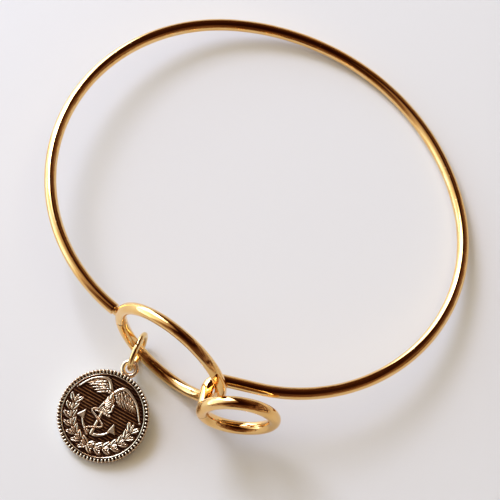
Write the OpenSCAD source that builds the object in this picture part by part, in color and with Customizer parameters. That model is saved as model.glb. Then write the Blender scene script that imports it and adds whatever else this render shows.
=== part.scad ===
// Hook-and-eye charm bangle: one round wire bent to an open oval, a big eye ring welded on its
// left end, a hook with a small pull ring on its other end, and a coin charm on a jump ring.
// It lies as it would on a table, tipped up by the eye ring. Millimetres and degrees.

/* [Hoop] */
// Diameter of the hoop's wire
hoop_wire = 2.0; // [1.4:0.1:3]
// Radius of the bend next to the hook, to the middle of the wire
near_bend = 28.75; // [24:0.05:36]
// How far the wire turns in that bend
near_turn = 110.8; // [95:0.1:120]
// Radius of the flatter bend at the back of the wrist
far_bend = 38.95; // [32:0.05:46]
// How far the wire turns at the back
far_turn = 80.4; // [70:0.1:92]
// Radius of the bend that runs down to the eye ring
left_bend = 29.85; // [25:0.05:36]

/* [Clasp] */
// Diameter of the eye ring's wire
eye_wire = 1.95; // [1.4:0.05:3]
// Clear diameter inside the eye ring
eye_bore = 18.35; // [13:0.05:24]
// Diameter of the weld that joins the cut end of the hoop to the eye ring
weld_d = 1.5; // [0.8:0.1:1.9]
// Bare length of that weld
weld_gap = 0.3; // [0.1:0.1:1]
// Clearance between the hook and the eye ring's wire inside it
hook_gap = 0.2; // [0.15:0.05:0.8]
// Direction in which the hoop leaves the hook
hook_heading = -11.8; // [-20:0.1:-4]
// Straight run of the hoop's wire next to the hook
hook_run = 5.7; // [2:0.1:10]
// How far the hook turns round the eye ring's wire
hook_turn = 90.2; // [70:0.1:110]
// Diameter of the pull ring's wire
pull_wire = 2.1; // [1.5:0.05:3]
// Clear diameter inside the pull ring
pull_bore = 9.4; // [6:0.1:14]
// Clearance between the pull ring and the eye ring's wire
pull_gap = 1.2; // [0.6:0.1:3]
// Direction of the pull ring's plane
pull_heading = -7.9; // [-20:0.1:5]
// Width of the butt seams in the two rings
seam_w = 0.12; // [0.05:0.01:0.3]
// Depth of those seams
seam_depth = 0.12; // [0.04:0.01:0.2]

/* [Jump ring] */
// Diameter of the jump ring's wire
jump_wire = 0.9; // [0.6:0.05:1.2]
// Clear diameter inside the jump ring
jump_bore = 5.2; // [4.8:0.1:8]
// Place of the jump ring on the eye ring, as an angle up from the hook
jump_at = 236.5; // [225:0.5:250]
// Direction from the eye ring to the charm
jump_heading = 246.7; // [225:0.1:270]
// How far the jump ring is drawn out towards the charm
jump_draw = 0.5; // [0:0.1:0.8]

/* [Charm] */
// Diameter over the milled rim
coin_d = 15.2; // [12:0.1:20]
// Thickness at the rim
coin_t = 1.6; // [1.2:0.1:2.4]
// Depth of the field below the rim
field_drop = 0.4; // [0.2:0.05:0.6]
// Number of teeth milled in the rim
teeth = 76; // [48:1:110]
// Length of a tooth along the radius
tooth_len = 0.68; // [0.4:0.02:1]
// Height of a tooth
tooth_h = 0.3; // [0.15:0.05:0.4]
// How far the teeth stand out past the blank
tooth_out = 0.12; // [0.05:0.01:0.2]
// Width of the low shoulder inside the teeth
shoulder_w = 0.35; // [0.2:0.05:0.6]
// Diameter of the hole in the bail
bail_bore = 1.5; // [1.3:0.05:2.2]
// Thickness of the bail's loop
bail_wire = 0.8; // [0.6:0.05:1]
// Metal between the bail's hole and the blank
bail_set = 0.55; // [0.1:0.05:0.7]
// Direction from the middle of the coin to its bail
coin_heading = 60.5; // [40:0.5:80]

/* [Rest] */
// Direction in which the raised hoop slopes down to the table
slope_heading = 38.9; // [30:0.1:55]
// Clearance of the jump ring above the table
stand_gap = 0.05; // [0.02:0.01:0.2]

/* [Relief heights] */
// Height of the laurel leaves over the field
leaf_h = 0.24; // [0.1:0.02:0.35]
// Height of the wing feathers
feather_h = 0.28; // [0.1:0.02:0.35]
// Height of the anchor
anchor_h = 0.34; // [0.1:0.02:0.38]
// Height of the bird's body and of its wing bones
bird_h = 0.38; // [0.1:0.02:0.4]
// Diameter of the half beads that draw the rope
bead_d = 0.5; // [0.3:0.02:0.6]

/* [Hidden] */
$fn = 72;

gold = [0.86, 0.68, 0.36];
pale_gold = [0.90, 0.76, 0.46];
antique_gold = [0.62, 0.49, 0.30];

// Where two runs of the hoop's wire meet, one is this much thinner and reaches into the other.
tuck = 0.02;
tuck_reach = 0.1;

// A unit vector in the plane, and the cross product of two such vectors
function dir(a) = [cos(a), sin(a)];
function turned(p, q) = p.x * q.y - p.y * q.x;

// The bench frame: the hoop lies in its XY plane and the hook bends round the origin.
hook_bend = (hoop_wire + eye_wire) / 2 + hook_gap;
eye_r = (eye_bore + eye_wire) / 2;
pull_r = (pull_bore + pull_wire) / 2;
jump_r = (jump_bore + jump_wire) / 2;

// Centres of the three bends of the hoop, each bend going on where the last one ends
near_from = hook_heading - 90;
far_from = near_from + near_turn;
left_from = far_from + far_turn;
run_from = hook_bend * dir(hook_heading + 90);
near_c = run_from + hook_run * dir(hook_heading) + near_bend * dir(hook_heading + 90);
far_c = near_c + (near_bend - far_bend) * dir(far_from);
left_c = far_c + (far_bend - left_bend) * dir(left_from);

// The hoop is cut where the eye ring and its weld just fill the way back to the hook.
eye_span = 2 * eye_r + eye_wire / 2 + weld_gap;
left_reach = norm(left_c);
left_to = atan2(left_c.y, left_c.x)
    + acos((eye_span ^ 2 - left_reach ^ 2 - left_bend ^ 2) / (2 * left_bend * left_reach));
cut_end = left_c + left_bend * dir(left_to);
hoop_bends = [[near_c, near_bend, near_from, near_turn],
              [far_c, far_bend, far_from, far_turn],
              [left_c, left_bend, left_from, left_to - left_from]];

// The eye ring stands square to the hoop, between the cut end and the hook.
eye_heading = atan2(-cut_end.y, -cut_end.x);
eye_c = -eye_r * dir(eye_heading);
eye_seam_at = 192;

// The hook's straight tail reaches the plane of the pull ring.
tail_from = hook_bend * dir(hook_heading + 90 + hook_turn);
tail_heading = hook_heading + 180 + hook_turn;
pull_off = (eye_wire + pull_wire) / 2 + pull_gap;
tail_len = (pull_off - turned(tail_from, dir(pull_heading)))
    / turned(dir(tail_heading), dir(pull_heading));
tail_to = tail_from + tail_len * dir(tail_heading);
pull_c = tail_to + pull_r * dir(pull_heading);
pull_seam_at = 180 + asin((hoop_wire / 2 + seam_w) / pull_r) + 1;

// The hoop slopes until its far side and the eye ring both touch the table.
hoop_mids = [for (b = hoop_bends) for (a = [0 : 0.5 : b[3]]) b[0] + b[1] * dir(b[2] + a)];
slope_reach = max([for (p = hoop_mids) p * dir(slope_heading)]) - eye_c * dir(slope_heading);
eye_cross = 1 - (dir(eye_heading) * dir(slope_heading)) ^ 2;
wire_step = (hoop_wire - eye_wire) / 2;
slope_a = slope_reach ^ 2 + eye_cross * eye_r ^ 2;
slope_b = slope_reach * wire_step;
slope = asin((sqrt(slope_b ^ 2 + slope_a * (eye_r ^ 2 - wire_step ^ 2)) - slope_b) / slope_a);
axis = [-sin(slope_heading), cos(slope_heading), 0];
lift = sin(slope) * (slope_reach + eye_c * dir(slope_heading)) + hoop_wire / 2;

// Where a point of the bench frame lies once the hoop is tipped
function tipped(p) = p * cos(slope) + cross(axis, p) * sin(slope)
    + axis * (axis * p) * (1 - cos(slope)) + [0, 0, lift];

// The jump ring stands on the table round the eye ring's lower left side.
limb = tipped([eye_c.x, eye_c.y, 0]
    + eye_r * [cos(jump_at) * cos(eye_heading), cos(jump_at) * sin(eye_heading), sin(jump_at)]);
jump_c = [limb.x, limb.y] + jump_draw * dir(jump_heading);
jump_z = jump_r + jump_wire / 2 + stand_gap;

// The coin leans on the table with its bail held on the outer side of the jump ring.
coin_r = coin_d / 2;
blank_r = coin_r - tooth_out;
bail_reach = blank_r + bail_set + bail_bore / 2;
bail_c = jump_c + jump_r * dir(jump_heading);
coin_span = blank_r + bail_reach;
coin_lean = asin(jump_z / norm([coin_span, coin_t / 2])) - atan2(coin_t / 2, coin_span);
coin_out = bail_reach * cos(coin_lean) - coin_t / 2 * sin(coin_lean);
coin_c = bail_c - coin_out * dir(coin_heading);
coin_z = blank_r * sin(coin_lean);

// The origin is below the middle of the whole piece, on the table.
hoop_tipped = [for (p = hoop_mids) tipped([p.x, p.y, 0])];
coin_dip = coin_t * sin(coin_lean) * sin(coin_heading)
    + coin_r * sqrt(1 - (sin(coin_lean) * sin(coin_heading)) ^ 2);
low_x = min([for (p = hoop_tipped) p.x]) - hoop_wire / 2;
high_x = max([for (p = hoop_tipped) p.x]) + hoop_wire / 2;
low_y = coin_c.y - coin_dip;
high_y = max([for (p = hoop_tipped) p.y]) + hoop_wire / 2;
middle = [(low_x + high_x) / 2, (low_y + high_y) / 2, 0];

// Coin face, from the bottom up
field_z = coin_t - field_drop;
sunk = 0.15;
web_w = 0.14;
shoulder_r = coin_r - tooth_len - web_w / 2;

// A bend of round wire about the Z axis
module bend(r, from, turn, d) {
    rotate(from) rotate_extrude(angle = turn) translate([r, 0]) circle(d = d);
}

// A bend that is a hair thinner and reaches a little way into the wire at both of its ends
module tucked_bend(r, from, turn, reach) {
    more = reach / r * 180 / PI;
    bend(r, from - more, turn + 2 * more, hoop_wire - tuck);
}

// A straight run that is a hair thinner too, and reaches back into the bend before it
module tucked_run(from, heading, run) {
    translate(from - tuck_reach * dir(heading)) rotate([0, 90, heading])
        cylinder(d = hoop_wire - tuck, h = run + tuck_reach);
}

// A closed wire ring that stands upright along the X axis, with a fine butt seam at one angle
module seamed_ring(r, d, seam_at) {
    rotate([90, 0, 0]) difference() {
        rotate_extrude() translate([r, 0]) circle(d = d);
        rotate(seam_at) translate([r, 0, 0]) rotate([90, 0, 0]) difference() {
            cylinder(d = d + 1, h = seam_w, center = true);
            cylinder(d = d - 2 * seam_depth, h = 2 * seam_w, center = true);
        }
    }
}

module hoop() {
    for (b = [hoop_bends[0], hoop_bends[2]]) translate(b[0]) bend(b[1], b[2], b[3], hoop_wire);
    translate(far_c) tucked_bend(far_bend, far_from, far_turn, 3 * tuck_reach);
    tucked_run(run_from, hook_heading, hook_run + tuck_reach);
}

module weld() {
    root = hoop_wire / 4;
    translate(cut_end - root * dir(eye_heading)) rotate([0, 90, eye_heading])
        cylinder(d = weld_d, h = root + weld_gap + eye_wire / 2);
}

module eye_ring() {
    translate(eye_c) rotate(eye_heading) seamed_ring(eye_r, eye_wire, eye_seam_at);
}

module hook() {
    bend(hook_bend, hook_heading + 90, hook_turn, hoop_wire);
    tucked_run(tail_from, tail_heading, tail_len);
}

module pull_ring() {
    translate(pull_c) rotate(pull_heading) seamed_ring(pull_r, pull_wire, pull_seam_at);
}

module bangle() {
    color(gold) translate([0, 0, lift] - middle) rotate(a = slope, v = axis) {
        hoop();
        weld();
        eye_ring();
        hook();
        pull_ring();
    }
}

module jump_ring() {
    color(pale_gold) translate([jump_c.x, jump_c.y, jump_z] - middle)
        rotate([90, 0, jump_heading]) bend(jump_r, 0, 360, jump_wire);
}

// Outline of a leaf or a feather that grows along the X axis from the origin
function blade(l, w) = concat(
    [for (i = [0 : 6]) [l * i / 6, w / 2 * sin(30 * i) ^ 0.8]],
    [for (i = [5 : -1 : 1]) [l * i / 6, -w / 2 * sin(30 * i) ^ 0.8]]);

// Places on the coin's face are shares of its radius, with the bail at the top.
module raised(p, h) {
    translate([coin_r * p.x, coin_r * p.y, field_z - sunk]) linear_extrude(h + sunk) children();
}

module blade_at(p, l, w, a, h) {
    raised(p, h) rotate(a) polygon(blade(coin_r * l, coin_r * w));
}

// A raised bar with straight sides between two places
module bar(p, q, w, h) {
    along = q - p;
    raised(p, h) rotate(atan2(along.y, along.x)) translate([0, -coin_r * w / 2])
        square([coin_r * norm(along), coin_r * w]);
}

// Outline of the milled rim: each tooth has two corners outside and two at its root
function rim_outline() = [for (i = [0 : teeth - 1]) for (k = [0 : 3])
    (k == 1 || k == 2 ? coin_r : coin_r - tooth_len) * dir((i + [0, 0.08, 0.46, 0.54][k]) * 360 / teeth)];

module rim() {
    root = coin_r - tooth_len;
    translate([0, 0, coin_t - tooth_h - 0.05]) linear_extrude(tooth_h + 0.05) difference() {
        polygon(rim_outline());
        circle(r = root - web_w);
    }
    translate([0, 0, field_z - sunk]) linear_extrude(sunk + field_drop / 2) difference() {
        circle(r = shoulder_r);
        circle(r = shoulder_r - shoulder_w);
    }
}

module blank() {
    cylinder(r = blank_r, h = field_z);
    translate([0, 0, field_z - sunk]) linear_extrude(coin_t - tooth_h - field_z + sunk) difference() {
        circle(r = blank_r);
        circle(r = coin_r - tooth_len - web_w);
    }
}

module bail() {
    translate([0, bail_reach, coin_t / 2]) bend((bail_bore + bail_wire) / 2, 0, 360, bail_wire);
}

// Anchor
crown = [-0.04, -0.44];
anchor_top = [-0.06, 0.16];
arm_r = 0.36;
arm_w = 0.075;

module anchor() {
    arm_c = crown + [0, arm_r];
    bar(crown, anchor_top, 0.085, anchor_h);
    bar([-0.24, 0.05], [0.13, 0.06], 0.065, anchor_h - 0.03);
    raised(arm_c, anchor_h - 0.02) rotate(198) difference() {
        arm_sector(arm_r + arm_w / 2, 144);
        circle(r = coin_r * (arm_r - arm_w / 2));
    }
    for (side = [-1, 1]) {
        tip = arm_c + (arm_r + 0.01) * dir(270 + side * 74);
        raised(tip, anchor_h - 0.04) rotate(side * 18) polygon(
            coin_r * [[0.11 * side, -0.10], [-0.10 * side, -0.04], [0.035 * side, 0.16]]);
    }
}

// A slice of a disc, from the X axis anticlockwise
module arm_sector(r, turn) {
    intersection() {
        circle(r = coin_r * r);
        polygon(2 * coin_r * r * [[0, 0], dir(0), dir(turn / 2), dir(turn)]);
    }
}

// Bird: each wing is its shoulder, wrist, bend and tip, and its feathers trail away from the body
wings = [[[-0.07, 0.53], [-0.28, 0.74], [-0.57, 0.61], [-0.76, 0.33]],
         [[-0.02, 0.54], [0.15, 0.72], [0.50, 0.57], [0.75, 0.27]]];
trails = [[208, 228], [318, 306]];
feathers = 11;

// A place along the bones of a wing, from 0 at the shoulder to 1 at the tip
function bone(w, t) = let (k = min(floor(3 * t), 2)) w[k] + (w[k + 1] - w[k]) * (3 * t - k);

module wing(w, trail) {
    for (k = [0 : 2]) bar(w[k], w[k + 1], 0.095 - 0.01 * k, bird_h - 0.02 * (k + 1));
    for (i = [0 : feathers - 1]) {
        t = (i + 0.4) / feathers;
        long = 0.55 - 0.7 * abs(t - 0.33);
        blade_at(bone(w, t), long, 0.08, trail[0] + (trail[1] - trail[0]) * t, feather_h - 0.02 * (i % 2));
    }
}

module bird() {
    for (k = [0, 1]) wing(wings[k], trails[k]);
    blade_at([-0.02, 0.14], 0.36, 0.20, 97, bird_h);
    blade_at([-0.06, 0.45], 0.20, 0.10, 178, bird_h - 0.05);
    for (a = [-32, 0, 32]) blade_at([-0.01, 0.24], 0.20, 0.07, 270 + a, feather_h);
}

// Laurel: stems run up both sides from a crossing at the bottom
spray_r = 0.69;
leaf_pairs = 6;

module spray(side) {
    for (i = [0 : leaf_pairs - 1]) {
        a = 270 + side * (13 + i * 14.6);
        p = spray_r * dir(a);
        for (k = [-1, 1])
            blade_at(p, 0.24, 0.105, a + side * 90 + k * 36, leaf_h - 0.03 * k);
        blade_at(p, 0.21, 0.05, a + side * 96, leaf_h);
    }
}

// Rope: beads along a snake that crosses the shank
rope_beads = 24;
function rope(t) = [-0.07 - 0.21 * sin(520 * t) * (1 - 0.4 * t), 0.12 - 0.62 * t];

module rope_line() {
    for (i = [0 : rope_beads - 1])
        let (p = coin_r * rope(i / (rope_beads - 1)))
            translate([p.x, p.y, field_z]) sphere(d = bead_d, $fn = 24);
}

module charm() {
    color(antique_gold) translate([coin_c.x, coin_c.y, coin_z] - middle)
        rotate([coin_lean, 0, coin_heading - 90]) {
            blank();
            rim();
            bail();
            anchor();
            bird();
            spray(-1);
            spray(1);
            rope_line();
        }
}

bangle();
jump_ring();
charm();
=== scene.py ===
import math
from contextlib import contextmanager
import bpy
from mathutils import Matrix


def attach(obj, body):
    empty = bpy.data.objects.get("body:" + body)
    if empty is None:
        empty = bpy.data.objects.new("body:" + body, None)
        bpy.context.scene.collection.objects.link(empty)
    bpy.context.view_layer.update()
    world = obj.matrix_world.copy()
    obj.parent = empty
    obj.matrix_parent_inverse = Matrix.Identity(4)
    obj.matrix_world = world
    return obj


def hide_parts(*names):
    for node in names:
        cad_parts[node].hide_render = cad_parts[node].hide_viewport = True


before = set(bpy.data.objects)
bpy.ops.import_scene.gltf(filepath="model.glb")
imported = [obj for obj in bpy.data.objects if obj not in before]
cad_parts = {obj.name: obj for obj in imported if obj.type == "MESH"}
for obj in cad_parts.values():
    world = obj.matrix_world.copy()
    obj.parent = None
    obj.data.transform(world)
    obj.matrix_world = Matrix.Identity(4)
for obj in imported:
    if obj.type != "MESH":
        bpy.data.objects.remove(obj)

from types import SimpleNamespace

import bmesh
import bpy
import numpy as np
from mathutils import Matrix, Vector

bl_info = {
    "name": "Charm Bangle",
    "version": (1, 0, 0),
    "blender": (4, 5, 0),
    "location": "View3D > Sidebar > Bangle",
    "description": "Builds a gold hook-and-eye bangle with an antique coin charm",
    "category": "Object",
}

MM = 0.001
RIGHT = math.pi / 2
TURN = 2 * math.pi
UP = np.array([0, 0, 1.0])
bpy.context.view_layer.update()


# Sizes and colours

def length(name, mm, about):
    return bpy.props.FloatProperty(name=name, description=about, default=mm * MM, min=0.0,
                                   unit="LENGTH", subtype="DISTANCE", precision=5)


def angle(name, degrees, about):
    return bpy.props.FloatProperty(name=name, description=about, default=math.radians(degrees),
                                   unit="ROTATION", subtype="ANGLE")


def amount(name, value, about):
    return bpy.props.FloatProperty(name=name, description=about, default=value, min=0.0)


def count(name, value, about):
    return bpy.props.IntProperty(name=name, description=about, default=value, min=3)


def colour(name, rgb, about):
    return bpy.props.FloatVectorProperty(name=name, description=about, default=rgb, size=3,
                                         min=0.0, max=1.0, subtype="COLOR")


class HoopSizes(bpy.types.PropertyGroup):
    """The oval hoop, bent from one wire in three bends"""
    wire: length("Wire", 2.0, "Diameter of the hoop's wire")
    near_bend: length("Near bend", 28.75, "Radius of the bend next to the hook")
    near_turn: angle("Near turn", 110.8, "How far the wire turns in that bend")
    far_bend: length("Far bend", 38.95, "Radius of the flatter bend at the back of the wrist")
    far_turn: angle("Far turn", 80.4, "How far the wire turns at the back")
    left_bend: length("Left bend", 29.85, "Radius of the bend that runs down to the eye ring")
    slope_heading: angle("Slope heading", 38.9, "Direction in which the raised hoop slopes down to the table")


class ClaspSizes(bpy.types.PropertyGroup):
    """The eye ring with its weld, the hook and the pull ring"""
    eye_wire: length("Eye wire", 1.95, "Diameter of the eye ring's wire")
    eye_bore: length("Eye bore", 18.35, "Clear diameter inside the eye ring")
    eye_seam: angle("Eye seam", 192, "Place of the eye ring's butt seam")
    weld: length("Weld", 1.5, "Diameter of the weld between the hoop and the eye ring")
    weld_gap: length("Weld gap", 0.3, "Bare length of that weld")
    hook_gap: length("Hook gap", 0.2, "Clearance between the hook and the eye ring's wire")
    hook_heading: angle("Hook heading", -11.8, "Direction in which the hoop leaves the hook")
    hook_run: length("Hook run", 5.7, "Straight run of the hoop's wire next to the hook")
    hook_turn: angle("Hook turn", 90.2, "How far the hook turns round the eye ring's wire")
    pull_wire: length("Pull wire", 2.1, "Diameter of the pull ring's wire")
    pull_bore: length("Pull bore", 9.4, "Clear diameter inside the pull ring")
    pull_gap: length("Pull gap", 1.2, "Clearance between the pull ring and the eye ring's wire")
    pull_heading: angle("Pull heading", -7.9, "Direction of the pull ring's plane")
    seam_width: length("Seam width", 0.12, "Width of the butt seams")
    seam_depth: length("Seam depth", 0.12, "Depth of the butt seams")
    fillet: length("Solder fillet", 0.38, "Reach of the solder in the corner of a joint")


class JumpRingSizes(bpy.types.PropertyGroup):
    """The thin ring that carries the charm"""
    wire: length("Wire", 0.9, "Diameter of the jump ring's wire")
    bore: length("Bore", 5.2, "Clear diameter inside the jump ring")
    at: angle("Place", 236.5, "Place of the jump ring on the eye ring")
    heading: angle("Heading", 246.7, "Direction from the eye ring to the charm")
    draw: length("Draw", 0.5, "How far the jump ring is drawn out towards the charm")
    stand_gap: length("Stand gap", 0.05, "Clearance of the jump ring above the table")


class CoinSizes(bpy.types.PropertyGroup):
    """The cast coin charm"""
    across: length("Across", 15.2, "Diameter over the milled rim")
    thick: length("Thickness", 1.6, "Thickness at the rim")
    field_drop: length("Field drop", 0.4, "Depth of the field below the rim")
    teeth: count("Teeth", 76, "Number of teeth milled in the rim")
    tooth_length: length("Tooth length", 0.68, "Length of a tooth along the radius")
    tooth_height: length("Tooth height", 0.3, "Height of a tooth")
    tooth_out: length("Tooth reach", 0.12, "How far the teeth stand out past the blank")
    shoulder: length("Shoulder", 0.35, "Width of the low rounded shoulder inside the teeth")
    bail_bore: length("Bail bore", 1.5, "Diameter of the hole in the bail")
    bail_wire: length("Bail wire", 0.8, "Thickness of the bail's loop")
    bail_set: length("Bail set", 0.55, "Metal between the bail's hole and the blank")
    heading: angle("Heading", 60.5, "Direction from the middle of the coin to its bail")
    ground_pitch: length("Ground lines", 0.5, "Spacing of the fine lines on the field")
    grid: length("Grid", 0.052, "Spacing of the points that carry the relief")


class Finish(bpy.types.PropertyGroup):
    """Colours of the metals"""
    gold: colour("Gold plate", (0.95, 0.645, 0.28), "Polished gold plate of the wires")
    pale_gold: colour("Pale gold", (0.94, 0.70, 0.34), "Plate of the jump ring")
    coin_gold: colour("Worn gold", (1.0, 0.88, 0.65), "Rubbed high parts of the coin")
    coin_brown: colour("Toned gold", (0.86, 0.42, 0.15), "Toned slopes of the coin")
    coin_dark: colour("Patina", (0.07, 0.028, 0.014), "Blackened hollows of the coin")


class StageSizes(bpy.types.PropertyGroup):
    """Table, lights and camera"""
    table: colour("Table", (0.712, 0.718, 0.728), "Colour of the table top")
    elevation: angle("Elevation", 73.085, "Height of the camera over the horizon")
    distance: length("Distance", 351.07, "Distance from the camera to its target")
    lens: amount("Lens", 151.3, "Focal length in millimetres")
    window: amount("Window", 1.75, "Strength of the cool window light")
    fill: amount("Fill", 3.1, "Strength of the warm soft light from above")


GROUPS = {"bangle_hoop": HoopSizes, "bangle_clasp": ClaspSizes, "bangle_jump_ring": JumpRingSizes,
          "bangle_coin": CoinSizes, "bangle_finish": Finish, "bangle_stage": StageSizes}


# Where things lie

def flat(a):
    """A unit vector in the bench plane."""
    return np.array([math.cos(a), math.sin(a), 0.0])


def arc(centre, radius, start, turn, step=0.0004):
    """Points along an arc in the bench plane."""
    n = max(8, int(abs(turn) * radius / step))
    return [centre + radius * flat(start + turn * i / n) for i in range(n + 1)]


def lay_out():
    """Places of every wire, worked out as they are bent. The bench plane holds the hoop, and the hook
    bends round its origin."""
    hoop, clasp, jump, coin = (getattr(bpy.context.scene, key) for key in list(GROUPS)[:4])
    hook_bend = (hoop.wire + clasp.eye_wire) / 2 + clasp.hook_gap
    eye_r = (clasp.eye_bore + clasp.eye_wire) / 2
    pull_r = (clasp.pull_bore + clasp.pull_wire) / 2
    jump_r = (jump.bore + jump.wire) / 2

    near_from = clasp.hook_heading - RIGHT
    far_from = near_from + hoop.near_turn
    left_from = far_from + hoop.far_turn
    run_to = hook_bend * flat(clasp.hook_heading + RIGHT)
    run_from = run_to + clasp.hook_run * flat(clasp.hook_heading)
    near_c = run_from + hoop.near_bend * flat(clasp.hook_heading + RIGHT)
    far_c = near_c + (hoop.near_bend - hoop.far_bend) * flat(far_from)
    left_c = far_c + (hoop.far_bend - hoop.left_bend) * flat(left_from)
    span = 2 * eye_r + clasp.eye_wire / 2 + clasp.weld_gap
    reach = np.linalg.norm(left_c)
    left_to = math.atan2(left_c[1], left_c[0]) % TURN + math.acos(
        (span ** 2 - reach ** 2 - hoop.left_bend ** 2) / (2 * hoop.left_bend * reach))
    cut_end = left_c + hoop.left_bend * flat(left_to)
    eye_heading = math.atan2(-cut_end[1], -cut_end[0])
    eye_c = -eye_r * flat(eye_heading)

    tail_from = hook_bend * flat(clasp.hook_heading + RIGHT + clasp.hook_turn)
    tail_way = flat(clasp.hook_heading + 2 * RIGHT + clasp.hook_turn)
    pull_way = flat(clasp.pull_heading)
    pull_off = (clasp.eye_wire + clasp.pull_wire) / 2 + clasp.pull_gap
    tail_len = (pull_off - np.cross(tail_from, pull_way)[2]) / np.cross(tail_way, pull_way)[2]
    tail_to = tail_from + tail_len * tail_way
    pull_c = tail_to + pull_r * pull_way

    hoop_line = (arc(left_c, hoop.left_bend, left_to, left_from - left_to)
                 + arc(far_c, hoop.far_bend, left_from, far_from - left_from)[1:]
                 + arc(near_c, hoop.near_bend, far_from, near_from - far_from)[1:]
                 + [run_from + t * (run_to - run_from) for t in np.linspace(0, 1, 16)[1:]])
    hook_line = (arc(np.zeros(3), hook_bend, clasp.hook_heading + RIGHT, clasp.hook_turn, 0.0001)[1:]
                 + [tail_from + t * (tail_to - tail_from) for t in np.linspace(0, 1, 12)[1:]])

    slope_way = flat(hoop.slope_heading)
    mids = np.array(hoop_line)
    slope_reach = (mids @ slope_way).max() - eye_c @ slope_way
    eye_cross = 1 - (flat(eye_heading) @ slope_way) ** 2
    step = (hoop.wire - clasp.eye_wire) / 2
    slope_a = slope_reach ** 2 + eye_cross * eye_r ** 2
    slope_b = slope_reach * step
    slope = math.asin((math.sqrt(slope_b ** 2 + slope_a * (eye_r ** 2 - step ** 2)) - slope_b) / slope_a)
    lift = math.sin(slope) * (slope_reach + eye_c @ slope_way) + hoop.wire / 2
    tip = (Matrix.Translation((0, 0, lift))
           @ Matrix.Rotation(slope, 4, (-math.sin(hoop.slope_heading), math.cos(hoop.slope_heading), 0)))

    limb = tip @ Vector(eye_c + eye_r * (math.cos(jump.at) * flat(eye_heading) + math.sin(jump.at) * UP))
    jump_c = np.array([limb.x, limb.y, 0]) + jump.draw * flat(jump.heading)
    jump_z = jump_r + jump.wire / 2 + jump.stand_gap
    blank_r = coin.across / 2 - coin.tooth_out
    bail_reach = blank_r + coin.bail_set + coin.bail_bore / 2
    coin_span = blank_r + bail_reach
    lean = (math.asin(jump_z / math.hypot(coin_span, coin.thick / 2))
            - math.atan2(coin.thick / 2, coin_span))
    coin_out = bail_reach * math.cos(lean) - coin.thick / 2 * math.sin(lean)
    coin_c = jump_c + jump_r * flat(jump.heading) - coin_out * flat(coin.heading)

    tipped = np.array([tip @ Vector(p) for p in hoop_line])
    sway = math.sin(lean) * math.sin(coin.heading)
    low_y = coin_c[1] - coin.thick * sway - coin.across / 2 * math.sqrt(1 - sway ** 2)
    middle = np.array([(tipped[:, 0].min() + tipped[:, 0].max()) / 2,
                       (low_y + tipped[:, 1].max() + hoop.wire / 2) / 2, 0])
    to_row = Matrix.Translation(-Vector(middle))
    return SimpleNamespace(
        bench=to_row @ tip, hoop_line=hoop_line, hook_line=hook_line,
        eye_c=eye_c, eye_r=eye_r, eye_heading=eye_heading, pull_c=pull_c, pull_r=pull_r,
        tail_way=tail_way, jump_r=jump_r, blank_r=blank_r, bail_reach=bail_reach,
        jump=to_row @ Matrix.Translation((*jump_c[:2], jump_z)) @ Matrix.Rotation(jump.heading, 4, "Z"),
        coin=to_row @ Matrix.Translation((*coin_c[:2], blank_r * math.sin(lean)))
        @ Matrix.Rotation(coin.heading - RIGHT, 4, "Z") @ Matrix.Rotation(lean, 4, "X"))


def stand(name, data):
    """An object that holds a mesh, a lamp or a camera, put in the scene."""
    made = bpy.data.objects.new(name, data)
    bpy.context.scene.collection.objects.link(made)
    return made


# Node trees

class Plumber:
    """Adds nodes to a tree, with their inputs set or linked and their options as keywords."""

    def __init__(self, tree):
        self.tree = tree

    def __call__(self, kind, sockets=None, **values):
        node = self.tree.nodes.new(kind)
        wanted = dict(sockets or {})
        for key, value in values.items():
            if key in node.inputs:
                wanted[key] = value
            else:
                setattr(node, key, value)
        for key, value in wanted.items():
            self.join(value, node.inputs[key])
        return node

    def join(self, value, target):
        """Links an output to a socket, or sets the socket to a number or colour."""
        if isinstance(value, bpy.types.NodeSocket):
            self.tree.links.new(value, target)
        else:
            target.default_value = value

    def maths(self, operation, *values, **more):
        """The result of a sum."""
        return self("ShaderNodeMath", dict(enumerate(values)), operation=operation, **more).outputs[0]

    def vectors(self, operation, *values, scale=None):
        """The vector that comes of a sum with vectors."""
        sockets = dict(enumerate(values)) if scale is None else {0: values[0], "Scale": scale}
        return self("ShaderNodeVectorMath", sockets, operation=operation).outputs["Vector"]

    def ramp(self, value, low, high, start=0.0, end=1.0, **more):
        """A value brought from one range to another."""
        return self("ShaderNodeMapRange", {"Value": value, "From Min": low, "From Max": high, "To Min": start,
                                           "To Max": end}, **more).outputs[0]

    def noise(self, vector, scale, detail, **more):
        """A soft noise between 0 and 1."""
        return self("ShaderNodeTexNoise", Vector=vector, Scale=scale, Detail=detail, **more).outputs["Fac"]

    def blend(self, share, low, high):
        """A colour between two, by a mask."""
        mix = self("ShaderNodeMix", data_type="RGBA")
        self.join(share, mix.inputs[0])
        for value, target in ((low, mix.inputs[6]), (high, mix.inputs[7])):
            self.join(value if isinstance(value, bpy.types.NodeSocket) else (*value, 1.0), target)
        return mix.outputs[2]


def dress(add, geometry, start, end):
    """Ends a geometry tree: what it made becomes real faces in the given material."""
    real = add("GeometryNodeRealizeInstances", Geometry=geometry)
    metal = add("GeometryNodeSetMaterial", Geometry=real.outputs[0], Material=start.outputs["Material"])
    add.join(metal.outputs[0], end.inputs[0])


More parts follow.
